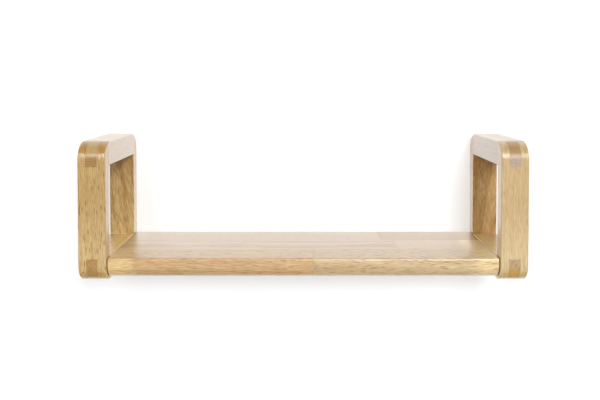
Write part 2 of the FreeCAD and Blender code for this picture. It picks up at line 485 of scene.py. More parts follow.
@dataclass(frozen=True)
class OakFigure:
    """The solid pattern of oak that every wooden piece is cut from: growth rings, pores, streaks and fibres.

    Pores are drawn wider and farther apart than the real ones, 1.8 mm across the grain, so that a pixel shows them.
    """

    wander: Cloud = Cloud((0.021, 0.021, 0.0048), 2.0, 0.4)
    patches: Cloud = Cloud((0.09, 0.09, 0.02), 1.0, 0.5)
    streaks: Cloud = Cloud((0.2, 0.24, 0.018), 3.0, 0.6)
    fibres: Cloud = Cloud((1.15, 1.0, 0.08), 2.0, 0.55)
    pore_scale: Triple = (0.56, 0.56, 0.075)
    pore_turn: Triple = (0.0, 0.0, 0.6)
    spring: tuple[float, float] = (0.0, 0.1)
    summer: tuple[float, float] = (0.16, 0.6)
    pore_rim: tuple[float, float] = (0.2, 0.36)
    streak_range: tuple[float, float] = (0.42, 0.7)
    fibre_range: tuple[float, float] = (0.34, 0.62)
    early_crowding: float = 0.25
    shallowest_pore: float = 0.3
    roughness: float = 0.27
    fibre_roughness: float = 0.12
    pore_roughness: float = 0.15
    fibre_height: float = 0.2

    def build(self) -> NodeTree:
        """Builds the pattern as a shader group.

        Its place input is in millimetres, with the grain along Z and the tree's pith on the Z axis, so that the
        figure runs through the wood and shows rightly on long grain and on end grain.

        Returns:
            The group.
        """
        colours = dict.fromkeys((*TINTS, "Cut end"), "Color")
        numbers = dict.fromkeys(("End grain", "Second share", *AMOUNTS), "Float")
        inputs = {"Place": "Vector", **colours, **numbers}
        outputs = {"Colour": "Color", "Roughness": "Float", "Height": "Float"}
        tree, add, given = new_group("Oak figure", "ShaderNodeTree", inputs, outputs)

        def spread(cloud: Cloud, source: Any) -> Node:
            """Lays a soft noise out over a place, and gives the noise's node."""
            scaled = add(VECTOR, [source, cloud.scale], operation="MULTIPLY")
            return add(NOISE, {"Vector": scaled, "Scale": 1.0, "Detail": cloud.detail, "Roughness": cloud.roughness})

        # The trunk isn't straight: its rings wander slowly along the grain.
        drift = spread(self.wander, given["Place"])
        centred = add(VECTOR, [drift.outputs["Color"], (0.5, 0.5, 0.5)], operation="SUBTRACT")
        push = add(VECTOR, {0: centred, "Scale": given["Wander"]}, operation="SCALE")
        place = add(VECTOR, [given["Place"], push], operation="ADD")
        section = add(VECTOR, [place, (1.0, 1.0, 0.0)], operation="MULTIPLY")
        radius = add(VECTOR, [section], operation="LENGTH")
        age = add(MATH, [radius, given["Ring width"]], operation="DIVIDE")
        season = add(MATH, [age], operation="FRACT")
        spring = add(RANGE, [season, *self.spring], **SMOOTH)
        summer = add(RANGE, [season, *self.summer, 1.0, 0.0], **SMOOTH)
        early = add(MATH, [spring, summer], operation="MULTIPLY")

        # Pores gather a little in the early wood and in patches.
        scattered = add(MAPPING, {"Vector": place, "Rotation": self.pore_turn, "Scale": self.pore_scale})
        vessels = add("ShaderNodeTexVoronoi", {"Vector": scattered, "Scale": 1.0})
        chance = add(SPLIT_XYZ, [vessels.outputs["Color"]])
        patches = spread(self.patches, given["Place"])
        crowd = add(MATH, [early, self.early_crowding, patches], operation="MULTIPLY_ADD")
        share = add(MATH, [crowd, given["Pore share"]], operation="MULTIPLY")
        chosen = add(MATH, [chance.outputs["X"], share], operation="LESS_THAN")
        pit = add(RANGE, [vessels, *self.pore_rim, chosen, 0.0], **SMOOTH)
        depths = add(RANGE, [chance.outputs["Y"], 0.0, 1.0, self.shallowest_pore])
        strong = add(MATH, [depths, given["Pore strength"]], operation="MULTIPLY")
        pore = add(MATH, [pit, strong], operation="MULTIPLY")

        # Each part of the figure darkens the wood by its own tint.
        streak = add(RANGE, [spread(self.streaks, place), *self.streak_range], **SMOOTH)
        fibre = spread(self.fibres, place)
        rings = add(MATH, [given["End grain"], given["End ring strength"], given["Ring strength"]],
                    operation="MULTIPLY_ADD")
        ring_share = add(MATH, [early, rings], operation="MULTIPLY")
        darkness = add(MATH, [streak, given["Streak strength"], ring_share], operation="MULTIPLY_ADD", use_clamp=True)
        banded = add(MIX, {"Factor": darkness, "A": WHITE, "B": given["Dark tint"]}, **COLOURS)
        threads = add(RANGE, [fibre, *self.fibre_range, given["Fibre strength"], 0.0])
        fine = add(MIX, {"Factor": threads, "A": WHITE, "B": given["Fibre tint"]}, **COLOURS)
        threaded = add(VECTOR, [banded, fine], operation="MULTIPLY")
        pitted = add(MIX, {"Factor": pore, "A": threaded, "B": given["Pore tint"]}, **COLOURS)
        toned = add(MIX, {"Factor": given["Second share"], "A": given["Wood"], "B": given["Second wood"]}, **COLOURS)
        base = add(MIX, {"Factor": given["End grain"], "A": toned, "B": given["Cut end"]}, **COLOURS)
        colour = add(VECTOR, [base, pitted], operation="MULTIPLY")

        sheen = add(MATH, [fibre, self.fibre_roughness, self.roughness], operation="MULTIPLY_ADD")
        roughness = add(MATH, [pore, self.pore_roughness, sheen], operation="MULTIPLY_ADD")
        depth = add(MATH, [pore, -1.0], operation="MULTIPLY")
        height = add(MATH, [fibre, self.fibre_height, depth], operation="MULTIPLY_ADD")
        add("NodeGroupOutput", {"Colour": colour, "Roughness": roughness, "Height": height})
        return tree


@dataclass(frozen=True)
class PaintedLightReach:
    """A stretch along a direction, in mm, where painted light or shade turns a piece's wood to its second tone."""

    along: Triple
    start: float
    full: float


@dataclass(frozen=True)
class LacqueredOak:
    """Planed and sanded oak under a clear satin lacquer: pale honey tan with brown pore dashes and a soft sheen.

    Lengths are in millimetres. The pith's place is given about the piece's own middle, across the grain and along it.
    Wood of a second tone shows where a piece is cut slantwise to its grain, and past its painted light reach, where
    the change of tone is painted light or shade. Which coat a surface has comes from how far it faces up, where -1 is
    straight down and 1 is straight up.
    """

    grain: Grain
    pith: Triple
    wood: str
    cut_end: str
    second_wood: str
    painted_light_reach: PaintedLightReach
    painted_light_cut_end: str = ""
    dark_tint: str = "#DEC4A2"
    fibre_tint: str = "#D0BC94"
    pore_tint: str = "#96703A"
    lean_deg: Triple = (0.0, 0.0, 0.0)
    ring_width: float = 4.5
    wander: float = 10.0
    ring_strength: float = 0.3
    pore_share: float = 0.5
    pore_strength: float = 0.7
    streak_strength: float = 0.5
    fibre_strength: float = 0.5
    end_ring_strength: float = 0.3
    end_range: tuple[float, float] = (0.33, 0.42)
    slant_range: tuple[float, float] = (0.1, 0.5)
    coat: float = 0.5
    edge_coat: float = 0.9
    top_coat: float = 0.5
    under_coat: float = 0.1
    faces_sideways: tuple[float, float] = (-0.4, 0.0)
    faces_up_a_little: tuple[float, float] = (0.1, 0.35)
    faces_up: tuple[float, float] = (0.75, 0.95)
    coat_roughness: float = 0.3
    relief: float = 0.15
    relief_depth: float = 0.1

    def material(self, node: str, figure: NodeTree) -> Material:
        """Makes the finish of one piece.

        Args:
            node: The piece's CAD node.
            figure: The solid pattern of oak.

        Returns:
            The material.
        """
        made, add = new_material(f"lacquered_oak_{node}")
        low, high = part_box(node)
        place = add("ShaderNodeTexCoord")
        lean = Euler([math.radians(angle) for angle in self.lean_deg]).to_matrix()
        turn = lean @ self.grain.turn.to_matrix()
        mapped = add(MAPPING, {
            "Vector": place.outputs["Object"],
            "Location": Vector(self.pith) - turn @ ((low + high) / 2) / MM,
            "Rotation": turn.to_euler(),
            "Scale": (1 / MM, 1 / MM, 1 / MM),
        })
        facing = add(VECTOR, [place.outputs["Normal"], self.grain.axis], operation="DOT_PRODUCT")
        along = add(MATH, [facing], operation="ABSOLUTE")
        slant = add(RANGE, [along, *self.slant_range], **SMOOTH)
        # Along the reach the wood and end grain turn to a second tone, which paints light or shade.
        reach = self.painted_light_reach
        distance = add(VECTOR, [place.outputs["Object"], Vector(reach.along) / MM], operation="DOT_PRODUCT")
        painted_light_share = add(RANGE, [distance, reach.start, reach.full], **SMOOTH)
        cut_end: Any = linear_colour(self.cut_end)
        if self.painted_light_cut_end:
            painted_light_end = linear_colour(self.painted_light_cut_end)
            cut_end = add(MIX, {"Factor": painted_light_share, "A": cut_end, "B": painted_light_end}, **COLOURS)
        oak = add("ShaderNodeGroup", {
            "Place": mapped,
            "End grain": add(RANGE, [along, *self.end_range], **SMOOTH),
            "Second share": add(MATH, [slant, painted_light_share], operation="MAXIMUM"),
            "Cut end": cut_end,
            **{label: linear_colour(code) for label, code in fields_of(self, TINTS).items()},
            **fields_of(self, AMOUNTS),
        }, node_tree=figure)
        pores = {"Strength": self.relief, "Distance": self.relief_depth * MM, "Height": oak.outputs["Height"]}
        relief = add("ShaderNodeBump", pores)
        # The lacquer lies thin below, thicker on flat sides and thickest on the rounded edges that face partly up.
        upward = add(SPLIT_XYZ, [place.outputs["Normal"]]).outputs["Z"]
        coat: Any = self.under_coat
        for turned, thickness in (
            (self.faces_sideways, self.coat), (self.faces_up_a_little, self.edge_coat), (self.faces_up, self.top_coat)
        ):
            coat = add(RANGE, [upward, *turned, coat, thickness])
        shader = add("ShaderNodeBsdfPrincipled", {
            "Base Color": oak.outputs["Colour"], "Roughness": oak.outputs["Roughness"], "IOR": WOOD_IOR,
            "Normal": relief, "Coat Weight": coat, "Coat Roughness": self.coat_roughness, "Coat IOR": WOOD_IOR,
            "Coat Normal": relief,
        })
        add("ShaderNodeOutputMaterial", {"Surface": shader})
        return made


@dataclass(frozen=True)
class TurnedBeech:
    """Bare machined beech: pale pinkish wood with short darker flecks and no shine."""

    wood: str = "#D3B48C"
    fleck: str = "#B08A60"
    fleck_length: float = 3.0
    fleck_width: float = 0.5
    fleck_range: tuple[float, float] = (0.5, 0.75)
    roughness: float = 0.7
    relief: float = 0.2
    relief_depth: float = 0.1

    def material(self) -> Material:
        """Makes the dowels' finish.

        Returns:
            The material.
        """
        made, add = new_material("turned_beech")
        place = add("ShaderNodeTexCoord").outputs["Object"]
        size = (self.fleck_length, self.fleck_width, self.fleck_width)
        scaled = add(MAPPING, {"Vector": place, "Scale": tuple(1 / (length * MM) for length in size)})
        flecks = add(NOISE, {"Vector": scaled, "Scale": 1.0, "Detail": 1.0})
        amount = add(RANGE, [flecks, *self.fleck_range], **SMOOTH)
        colour = add(MIX, {"Factor": amount, "A": linear_colour(self.wood), "B": linear_colour(self.fleck)}, **COLOURS)
        raised = {"Strength": self.relief, "Distance": self.relief_depth * MM, "Height": amount}
        shader = add("ShaderNodeBsdfPrincipled", {
            "Base Color": colour, "Roughness": self.roughness, "IOR": WOOD_IOR, "Normal": add("ShaderNodeBump", raised),
        })
        add("ShaderNodeOutputMaterial", {"Surface": shader})
        return made


@dataclass(frozen=True)
class ZincPlatedSteel:
    """Pressed steel under bright zinc: cool silver with faint cloudy patches and fine scuffs from the press."""

    bright: str = "#D3D5D7"
    dull: str = "#B9BBBE"
    cloud_size: float = 4.0
    cloud_range: tuple[float, float] = (0.3, 0.7)
    roughness_range: tuple[float, float] = (0.24, 0.4)
    scuff_size: Triple = (0.3, 0.3, 6.0)
    relief: float = 0.15
    relief_depth: float = 0.05

    def material(self) -> Material:
        """Makes the finish of the hanger plates and their screws.

        Returns:
            The material.
        """
        made, add = new_material("zinc_plated_steel")
        place = add("ShaderNodeTexCoord").outputs["Object"]
        patches = add(NOISE, {"Vector": place, "Scale": 1 / (self.cloud_size * MM), "Detail": 3.0})
        brushed = add(MAPPING, {"Vector": place, "Scale": tuple(1 / (length * MM) for length in self.scuff_size)})
        scuffs = add(NOISE, {"Vector": brushed, "Scale": 1.0, "Detail": 2.0})
        bright, dull = linear_colour(self.bright), linear_colour(self.dull)
        colour = add(MIX, {"Factor": patches, "A": bright, "B": dull}, **COLOURS)
        roughness = add(RANGE, [patches, *self.cloud_range, *self.roughness_range])
        raised = {"Strength": self.relief, "Distance": self.relief_depth * MM, "Height": scuffs}
        shader = add("ShaderNodeBsdfPrincipled", {
            "Base Color": colour, "Metallic": 1.0, "Roughness": roughness, "Normal": add("ShaderNodeBump", raised),
        })
        add("ShaderNodeOutputMaterial", {"Surface": shader})
        return made


class Form:
    """A Geometry Nodes tree that is being built. Its lengths are in metres."""

    def __init__(self, name: str, numbers: Sequence[str], lengths: Sequence[str]) -> None:
        """Starts the tree with its named inputs.

        Args:
            name: The tree's name.
            numbers: Its inputs that are whole numbers.
            lengths: Its inputs that are lengths.
        """
        sizes = {**dict.fromkeys(numbers, "Int"), **dict.fromkeys(lengths, "Float")}
        inputs = {"Middle": "Vector", **sizes, "Material": "Material"}
        self.tree, self.add, self.given = new_group(name, "GeometryNodeTree", inputs, {"Mesh": "Geometry"})

    def row(self, middle: Any) -> Node:
        """Adds a row of points along Y, from the tree's count and spacing.

        Args:
            middle: The middle of the row.

        Returns:
            The node that makes the points.
        """
        add, given = self.add, self.given
        gaps = add(MATH, [given["Count"], 1.0], operation="SUBTRACT")
        length = add(MATH, [gaps, given["Spacing"]], operation="MULTIPLY")
        back = add(JOIN_XYZ, {"Y": add(MATH, [length, -0.5], operation="MULTIPLY")})
        start = add(VECTOR, [middle, back], operation="ADD")
        step = add(JOIN_XYZ, {"Y": given["Spacing"]})
        row = {"Count": given["Count"], "Start Location": start, "Offset": step}
        return add("GeometryNodeMeshLine", row, mode="OFFSET")

    def narrow(self, rod: Node, radius: str, wanted: Node) -> Node:
        """Brings each point of a rod along Z to a wanted radius.

        Args:
            rod: The node that makes the rod.
            radius: The input that gives the rod its radius.
            wanted: The node that works out each point's radius.

        Returns:
            The node that gives the shaped rod.
        """
        share = self.add(MATH, [wanted, self.given[radius]], operation="DIVIDE")
        scale = self.add(JOIN_XYZ, {"X": share, "Y": share, "Z": 1.0})
        moved = self.add(VECTOR, [self.add("GeometryNodeInputPosition"), scale], operation="MULTIPLY")
        return self.add("GeometryNodeSetPosition", {"Geometry": rod, "Position": moved})

    def finish(self, shape: Node) -> NodeTree:
        """Ends the tree.

        Args:
            shape: The node that makes the whole shape.

        Returns:
            The tree.
        """
        realized = self.add("GeometryNodeRealizeInstances", {"Geometry": shape})
        dressed = self.add("GeometryNodeSetMaterial", {"Geometry": realized, "Material": self.given["Material"]})
        self.add("NodeGroupOutput", {"Mesh": dressed})
        return self.tree


def rounded_blank_tree() -> NodeTree:
    """Builds the Geometry Nodes tree of a block whose four edges along X are rounded.

    Returns:
        The tree.
    """
    form = Form("Rounded blank", ("Corner steps",), ("Width", "Depth", "Height", "Upper radius", "Lower radius"))
    add, given = form.add, form.given
    outline = add("GeometryNodeCurvePrimitiveQuadrilateral", {"Width": given["Depth"], "Height": given["Height"]})
    # The first two of the outline's four points are its upper ones.
    index = add("GeometryNodeInputIndex")
    upper = add("FunctionNodeCompare", {"A": index, "B": 2}, data_type="INT", operation="LESS_THAN")
    radii = {"Switch": upper, "False": given["Lower radius"], "True": given["Upper radius"]}
    radius = add("GeometryNodeSwitch", radii, input_type="FLOAT")
    corners = {"Curve": outline, "Radius": radius, "Count": given["Corner steps"], "Limit Radius": False}
    filleted = add("GeometryNodeFilletCurve", corners, mode="POLY")
    flat = add("GeometryNodeFillCurve", {"Curve": filleted}, mode="NGONS")
    upward = add(JOIN_XYZ, {"Z": given["Width"]})
    growth = {"Mesh": flat, "Offset": upward, "Offset Scale": 1.0, "Individual": False}
    grown = add("GeometryNodeExtrudeMesh", growth, mode="FACES")
    turned_over = add("GeometryNodeFlipFaces", {"Mesh": flat})
    closed = add("GeometryNodeJoinGeometry", {"Geometry": [grown, turned_over]})
    welded = add("GeometryNodeMergeByDistance", {"Geometry": closed, "Distance": SAME_PLACE * MM})
    downward = add(JOIN_XYZ, {"Z": add(MATH, [given["Width"], -0.5], operation="MULTIPLY")})
    centred = add(TRANSFORM, {"Geometry": welded, "Translation": downward})
    # The outline's own X, Y and Z become the shelf's Y, Z and X.
    turn = (math.pi / 2, 0, math.pi / 2)
    return form.finish(add(TRANSFORM, {"Geometry": centred, "Translation": given["Middle"], "Rotation": turn}))


def fluted_dowels_tree() -> NodeTree:
    """Builds the Geometry Nodes tree of a row of dowels along Y, each lying along X, fluted and chamfered.

    Returns:
        The tree.
    """
    form = Form("Fluted dowels", ("Count", "Flutes"), ("Spacing", "Length", "Radius", "Flute depth", "Chamfer"))
    add, given = form.add, form.given
    rod = add("GeometryNodeMeshCylinder", {**DOWEL_MESH, "Radius": given["Radius"], "Depth": given["Length"]})
    place = add(SPLIT_XYZ, [add("GeometryNodeInputPosition")]).outputs
    angle = add(MATH, [place["Y"], place["X"]], operation="ARCTAN2")
    turns = add(MATH, [angle, given["Flutes"]], operation="MULTIPLY")
    wave = add(MATH, [turns], operation="COSINE")
    # Each flute takes up the part of its wave above this.
    flute_edge = 0.3
    groove = add(RANGE, [wave, flute_edge, 1.0, 0.0, given["Flute depth"]], **SMOOTH)
    half = add(MATH, [given["Length"], 0.5], operation="MULTIPLY")
    inner = add(MATH, [half, given["Chamfer"]], operation="SUBTRACT")
    along = add(MATH, [place["Z"]], operation="ABSOLUTE")
    taken = add(RANGE, [along, inner, half, groove, given["Chamfer"]])
    kept = add(MATH, [given["Radius"], taken], operation="SUBTRACT")
    laid = add(TRANSFORM, {"Geometry": form.narrow(rod, "Radius", kept), "Rotation": (0, math.pi / 2, 0)})
    points = form.row(given["Middle"])
    return form.finish(add("GeometryNodeInstanceOnPoints", {"Points": points, "Instance": laid}))


def plate_screws_tree() -> NodeTree:
    """Builds the Geometry Nodes tree of countersunk screws in an upright row, driven towards the front.

    Returns:
        The tree. Its seed sets how far each screw is turned.
    """
    lengths = ("Spacing", "Length", "Head radius", "Head height", "Crest radius", "Core radius", "Pitch", "Point",
               "Recess")
    form = Form("Plate screws", ("Count", "Seed"), lengths)
    add, given = form.add, form.given
    # How far the thread's root reaches to each side in laps, how much of a screw's radius is left at its tip, and how
    # wide a wing of the cross recess is for its length.
    root_reach, tip_share, wing_share = 0.22, 0.08, 0.25
    rod = add("GeometryNodeMeshCylinder", {**SCREW_MESH, "Radius": given["Head radius"], "Depth": given["Length"]})
    place = add(SPLIT_XYZ, [add("GeometryNodeInputPosition")]).outputs
    half = add(MATH, [given["Length"], 0.5], operation="MULTIPLY")
    below = add(MATH, [half, place["Z"]], operation="SUBTRACT")
    angle = add(MATH, [place["Y"], place["X"]], operation="ARCTAN2")
    turn = add(MATH, [angle, 2 * math.pi], operation="DIVIDE")
    laps = add(MATH, [below, given["Pitch"]], operation="DIVIDE")
    helix = add(MATH, [laps, turn], operation="ADD")
    saw = add(MATH, [helix, 0.5], operation="PINGPONG")
    thread = add(RANGE, [saw, root_reach, 0.5, given["Core radius"], given["Crest radius"]])
    cone = add(RANGE, [below, 0.0, given["Head height"], given["Head radius"], thread])
    point_start = add(MATH, [given["Length"], given["Point"]], operation="SUBTRACT")
    taper = add(RANGE, [below, point_start, given["Length"], 1.0, tip_share])
    wanted = add(MATH, [cone, taper], operation="MULTIPLY")
    threaded = form.narrow(rod, "Head radius", wanted)
    wing = add(MATH, [given["Recess"], wing_share], operation="MULTIPLY")
    top = add(JOIN_XYZ, {"Z": half})
    drives = []
    for across, up in (("X", "Y"), ("Y", "X")):
        size = add(JOIN_XYZ, {across: given["Recess"], up: wing, "Z": given["Head height"]})
        blade = add("GeometryNodeMeshCube", {"Size": size})
        drives.append(add(TRANSFORM, {"Geometry": blade, "Translation": top}))
    driven = add(
        "GeometryNodeMeshBoolean", {"Mesh 1": threaded, "Mesh 2": drives}, operation="DIFFERENCE", solver="EXACT"
    )
    # A screw stands along Z here. Its row runs along Y, and one turn about X then lays both.
    points = form.row((0, 0, 0))
    spin = add("FunctionNodeRandomValue", {"Min": 0.0, "Max": math.pi / 2, "Seed": given["Seed"]}, data_type="FLOAT")
    spun = add(JOIN_XYZ, {"Z": spin})
    screws = add("GeometryNodeInstanceOnPoints", {"Points": points, "Instance": driven, "Rotation": spun})
    lay = (-math.pi / 2, 0, 0)
    return form.finish(add(TRANSFORM, {"Geometry": screws, "Translation": given["Middle"], "Rotation": lay}))


@dataclass
class DowelRow:
    """The dowels that join the board's end to a side frame's bottom rail."""

    side: Side
    form: NodeTree
    count: int = 3
    flutes: int = 16
    flute_depth: float = 0.25
    chamfer: float = 0.8
    bore_clearance: float = 0.1

    def __post_init__(self) -> None:
        """Reads the row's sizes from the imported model."""
        self.node = f"{self.side}_shelf_dowels"
        self.low, self.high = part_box(self.node)
        self.middle = (self.low + self.high) / 2
        self.radius = (self.high.z - self.low.z) / 2
        self.spacing = (self.high.y - self.low.y - 2 * self.radius) / (self.count - 1)

    def bores(self) -> list[Mesh]:
        """Makes the holes that the dowels stand in.

        Returns:
            The holes as cutting shapes.
        """
        past = OVERRUN * MM
        tools = []
        for number in range(self.count):
            y = self.middle.y + (number - (self.count - 1) / 2) * self.spacing
            start = Vector((self.low.x - past, y, self.middle.z))
            end = Vector((self.high.x + past, y, self.middle.z))
            tools.append(bar_mesh(start, end, self.radius + self.bore_clearance * MM))
        return tools

    def build(self, beech: Material) -> None:
        """Makes the dowels and dresses them.

        Args:
            beech: Their finish.
        """
        row = grow(f"{self.node}_beech", self.form, {
            "Middle": self.middle, "Count": self.count, "Spacing": self.spacing, "Length": self.high.x - self.low.x,
            "Radius": self.radius, "Flutes": self.flutes, "Flute depth": self.flute_depth * MM,
            "Chamfer": self.chamfer * MM, "Material": beech,
        })
        hand_in(row, beech, self.node)


@dataclass
class KeyholeHanger:
    """A pressed steel keyhole plate and its two countersunk screws, let in flush behind a rear post."""

    side: Side
    screw_form: NodeTree
    screw_seed: int
    rim: Arris = Arris(0.25, 2)
    rim_turn_deg: float = 80.0
    entry_radius: float = 5.0
    entry_below_middle: float = 3.7
    slot_width: float = 4.8
    slot_drop: float = 10.0
    head_height: float = 1.75
    crest_radius: float = 1.75
    core_radius: float = 1.2
    pitch: float = 1.35
    point: float = 3.2
    recess: float = 3.6
    hole_clearance: float = 0.1
    let_in_clearance: float = 0.15
    pocket_margin: float = 1.0
    pocket_depth: float = 10.0

    def __post_init__(self) -> None:
        """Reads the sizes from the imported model."""
        self.plate_node = f"{self.side}_hanger_plate"
        self.screw_node = f"{self.side}_hanger_screws"
        self.low, self.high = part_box(self.plate_node)
        self.screw_low, self.screw_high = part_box(self.screw_node)
        self.middle = (self.low + self.high) / 2
        self.size = self.high - self.low
        self.head_radius = (self.screw_high.x - self.screw_low.x) / 2
        self.screw_heights = (self.screw_low.z + self.head_radius, self.screw_high.z - self.head_radius)
        self.entry_z = self.middle.z - self.entry_below_middle * MM
        self.slot_middle_z = self.entry_z + self.slot_drop / 2 * MM

    def at(self, y: float, z: float) -> Vector:
        """A place on the upright plane through the plate's middle."""
        return Vector((self.middle.x, y, z))

    def screw_holes(self) -> list[Mesh]:
        """Makes the countersunk holes of the plate and the post.

        Returns:
            The holes as cutting shapes.
        """
        ease = self.hole_clearance * MM
        back = self.high.y
        shank = self.crest_radius * MM + ease
        tools = []
        for z in self.screw_heights:
            mouth = self.at(back + ease, z)
            throat = self.at(back - self.head_height * MM, z)
            tools.append(bar_mesh(throat, mouth, shank, self.head_radius + 2 * ease))
            tools.append(bar_mesh(self.at(self.screw_low.y - ease, z), mouth, shank))
        return tools

    def recesses(self) -> list[Mesh]:
        """Makes the let-in, the wall screw's head pocket and the screw holes of the post.

        Returns:
            The recesses as cutting shapes.
        """
        ease = 2 * self.let_in_clearance * MM
        back = self.high.y + OVERRUN * MM
        let_in = slot_mesh(self.size.x + ease, self.size.z + ease, self.at(back, self.middle.z), self.low.y - back)
        width = 2 * (self.entry_radius + self.pocket_margin) * MM
        depth = self.high.y - self.pocket_depth * MM - back
        pocket = slot_mesh(width, width + self.slot_drop * MM, self.at(back, self.slot_middle_z), depth)
        return [let_in, pocket, *self.screw_holes()]

    def build(self, steel: Material) -> None:
        """Makes the plate and its screws and dresses them.

        Args:
            steel: Their finish.
        """
        blank = slot_mesh(self.size.x, self.size.z, self.at(self.low.y, self.middle.z), self.size.y)
        plate = new_object(f"{self.plate_node}_steel", blank)
        front, back = self.low.y - OVERRUN * MM, self.high.y + OVERRUN * MM
        width = self.slot_width * MM
        entry = bar_mesh(self.at(front, self.entry_z), self.at(back, self.entry_z), self.entry_radius * MM)
        slot = slot_mesh(width, width + self.slot_drop * MM, self.at(front, self.slot_middle_z), back - front)
        carve(plate, Cut.REMOVE, [entry, slot, *self.screw_holes()])
        sharp = math.radians(self.rim_turn_deg)
        self.rim.round_off(plate, lambda edge: square_to(Axis.Y)(edge) and edge.calc_face_angle() > sharp)
        hand_in(plate, steel, self.plate_node)
        lower, upper = self.screw_heights
        shape = fields_of(self, ("Head height", "Crest radius", "Core radius", "Pitch", "Point", "Recess"))
        screws = grow(f"{self.screw_node}_steel", self.screw_form, {
            "Middle": (self.screw_low + self.screw_high) / 2, "Count": len(self.screw_heights),
            "Spacing": upper - lower, "Length": self.screw_high.y - self.screw_low.y, "Head radius": self.head_radius,
            **{label: length * MM for label, length in shape.items()},
            "Seed": self.screw_seed, "Material": steel,
        })
        hand_in(screws, steel, self.screw_node)


@dataclass
class SideFrame:
    """One closed side frame: two posts and two rails, joined by bridles at rounded corners."""

    side: Side
    blank: NodeTree
    corner_radius: float = 22.0
    tenon_thickness: float = 14.0
    glue_line: float = 0.1
    outer_arris: Arris = Arris(1.8)
    opening_arris: Arris = Arris(1.2)
    corner_steps: int = 24

    def __post_init__(self) -> None:
        """Reads the frame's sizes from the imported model."""
        self.low, bottom_rail_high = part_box(f"{self.side}_bottom_rail")
        top_rail_low, self.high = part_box(f"{self.side}_top_rail")
        self.rail_top = bottom_rail_high.z
        self.rail_under = top_rail_low.z
        self.front_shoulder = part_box(f"{self.side}_front_post")[1].y
        self.rear_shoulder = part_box(f"{self.side}_rear_post")[0].y
        self.middle = (self.low + self.high) / 2
        past = Vector((OVERRUN, OVERRUN, OVERRUN)) * MM
        self.outside_low, self.outside_high = self.low - past, self.high + past

    def blank_frame(self) -> Object:
        """Makes the whole frame before it is split at its joints.

        Returns:
            A closed object with every outer edge rounded.
        """
        size = self.high - self.low
        block = grow(f"{self.side}_frame_blank", self.blank, {
            "Middle": self.middle, "Width": size.x, "Depth": size.y, "Height": size.z,
            "Upper radius": self.corner_radius * MM, "Lower radius": self.corner_radius * MM,
            "Corner steps": self.corner_steps,
        })
        self.outer_arris.round_off(block, square_to(Axis.X))
        low = Vector((self.outside_low.x, self.front_shoulder, self.rail_top))
        high = Vector((self.outside_high.x, self.rear_shoulder, self.rail_under))
        carve(block, Cut.REMOVE, [box_mesh(low, high)])

        def on_rim(edge: bmesh.types.BMEdge) -> bool:
            """Tells whether an edge runs round the opening on one of the frame's flat sides.

            Args:
                edge: An edge of the frame.

            Returns:
                True for an edge of the rim.
            """
            near = SAME_PLACE * MM
            return square_to(Axis.X)(edge) and all(
                low[axis] - near < end.co[axis] < high[axis] + near for end in edge.verts for axis in (Axis.Y, Axis.Z)
            )

        self.opening_arris.round_off(block, on_rim)
        return block

    def bar_tools(
        self, axis: Axis, low: float, high: float, bands: Sequence[tuple[float, float]]
    ) -> tuple[Mesh, list[Mesh]]:
        """Makes the shapes that cut a post or a rail from the blank.

        Args:
            axis: The axis that its thin side lies along, Y for a post and Z for a rail.
            low: Where it starts along that axis.
            high: Where it ends.
            bands: The stretches along X that both its ends lose to their joints.

        Returns:
            The shape that is kept, and the waste of its joints.
        """
        # Its ends lie past the frame's opening along the other of these two axes.
        if axis is Axis.Y:
            other, opening = Axis.Z, (self.rail_top, self.rail_under)
        else:
            other, opening = Axis.Y, (self.front_shoulder, self.rear_shoulder)
        ends = ((self.outside_low[other], opening[0]), (opening[1], self.outside_high[other]))
        past = OVERRUN * MM
        waste = []
        for left, right in bands:
            for start, end in ends:
                corner, opposite = Vector((left, 0, 0)), Vector((right, 0, 0))
                corner[axis], opposite[axis] = low - past, high + past
                corner[other], opposite[other] = start, end
                waste.append(box_mesh(corner, opposite))
        kept_low, kept_high = self.outside_low.copy(), self.outside_high.copy()
        kept_low[axis], kept_high[axis] = low, high
        return box_mesh(kept_low, kept_high), waste

    def build(self, oak: dict[str, Material], rear_recesses: list[Mesh], rail_bores: list[Mesh]) -> None:
        """Cuts the four parts from the blank and dresses them.

        Args:
            oak: The finish of each part, by the name of its CAD node.
            rear_recesses: What the hanger takes out of the rear post.
            rail_bores: What the dowels take out of the bottom rail.
        """
        block = self.blank_frame()
        x, low, high = self.middle.x, self.outside_low, self.outside_high
        tenon = self.tenon_thickness / 2 * MM
        mortise = (self.tenon_thickness / 2 + self.glue_line) * MM
        # A post loses the middle of its ends to the mortises, and a rail both sides of its tenons.
        mortises = [(x - mortise, x + mortise)]
        cheeks = [(low.x, x - tenon), (x + tenon, high.x)]
        for part, axis, start, end, bands, holes in (
            ("front_post", Axis.Y, low.y, self.front_shoulder, mortises, []),
            ("rear_post", Axis.Y, self.rear_shoulder, high.y, mortises, rear_recesses),
            ("top_rail", Axis.Z, self.rail_under, high.z, cheeks, []),
            ("bottom_rail", Axis.Z, low.z, self.rail_top, cheeks, rail_bores),
        ):
            node = f"{self.side}_{part}"
            kept, waste = self.bar_tools(axis, start, end, bands)
            piece = carve(copy_of(block, f"{node}_oak"), Cut.KEEP, [kept])
            hand_in(carve(piece, Cut.REMOVE, [*waste, *holes]), oak[node], node)
        discard(block)


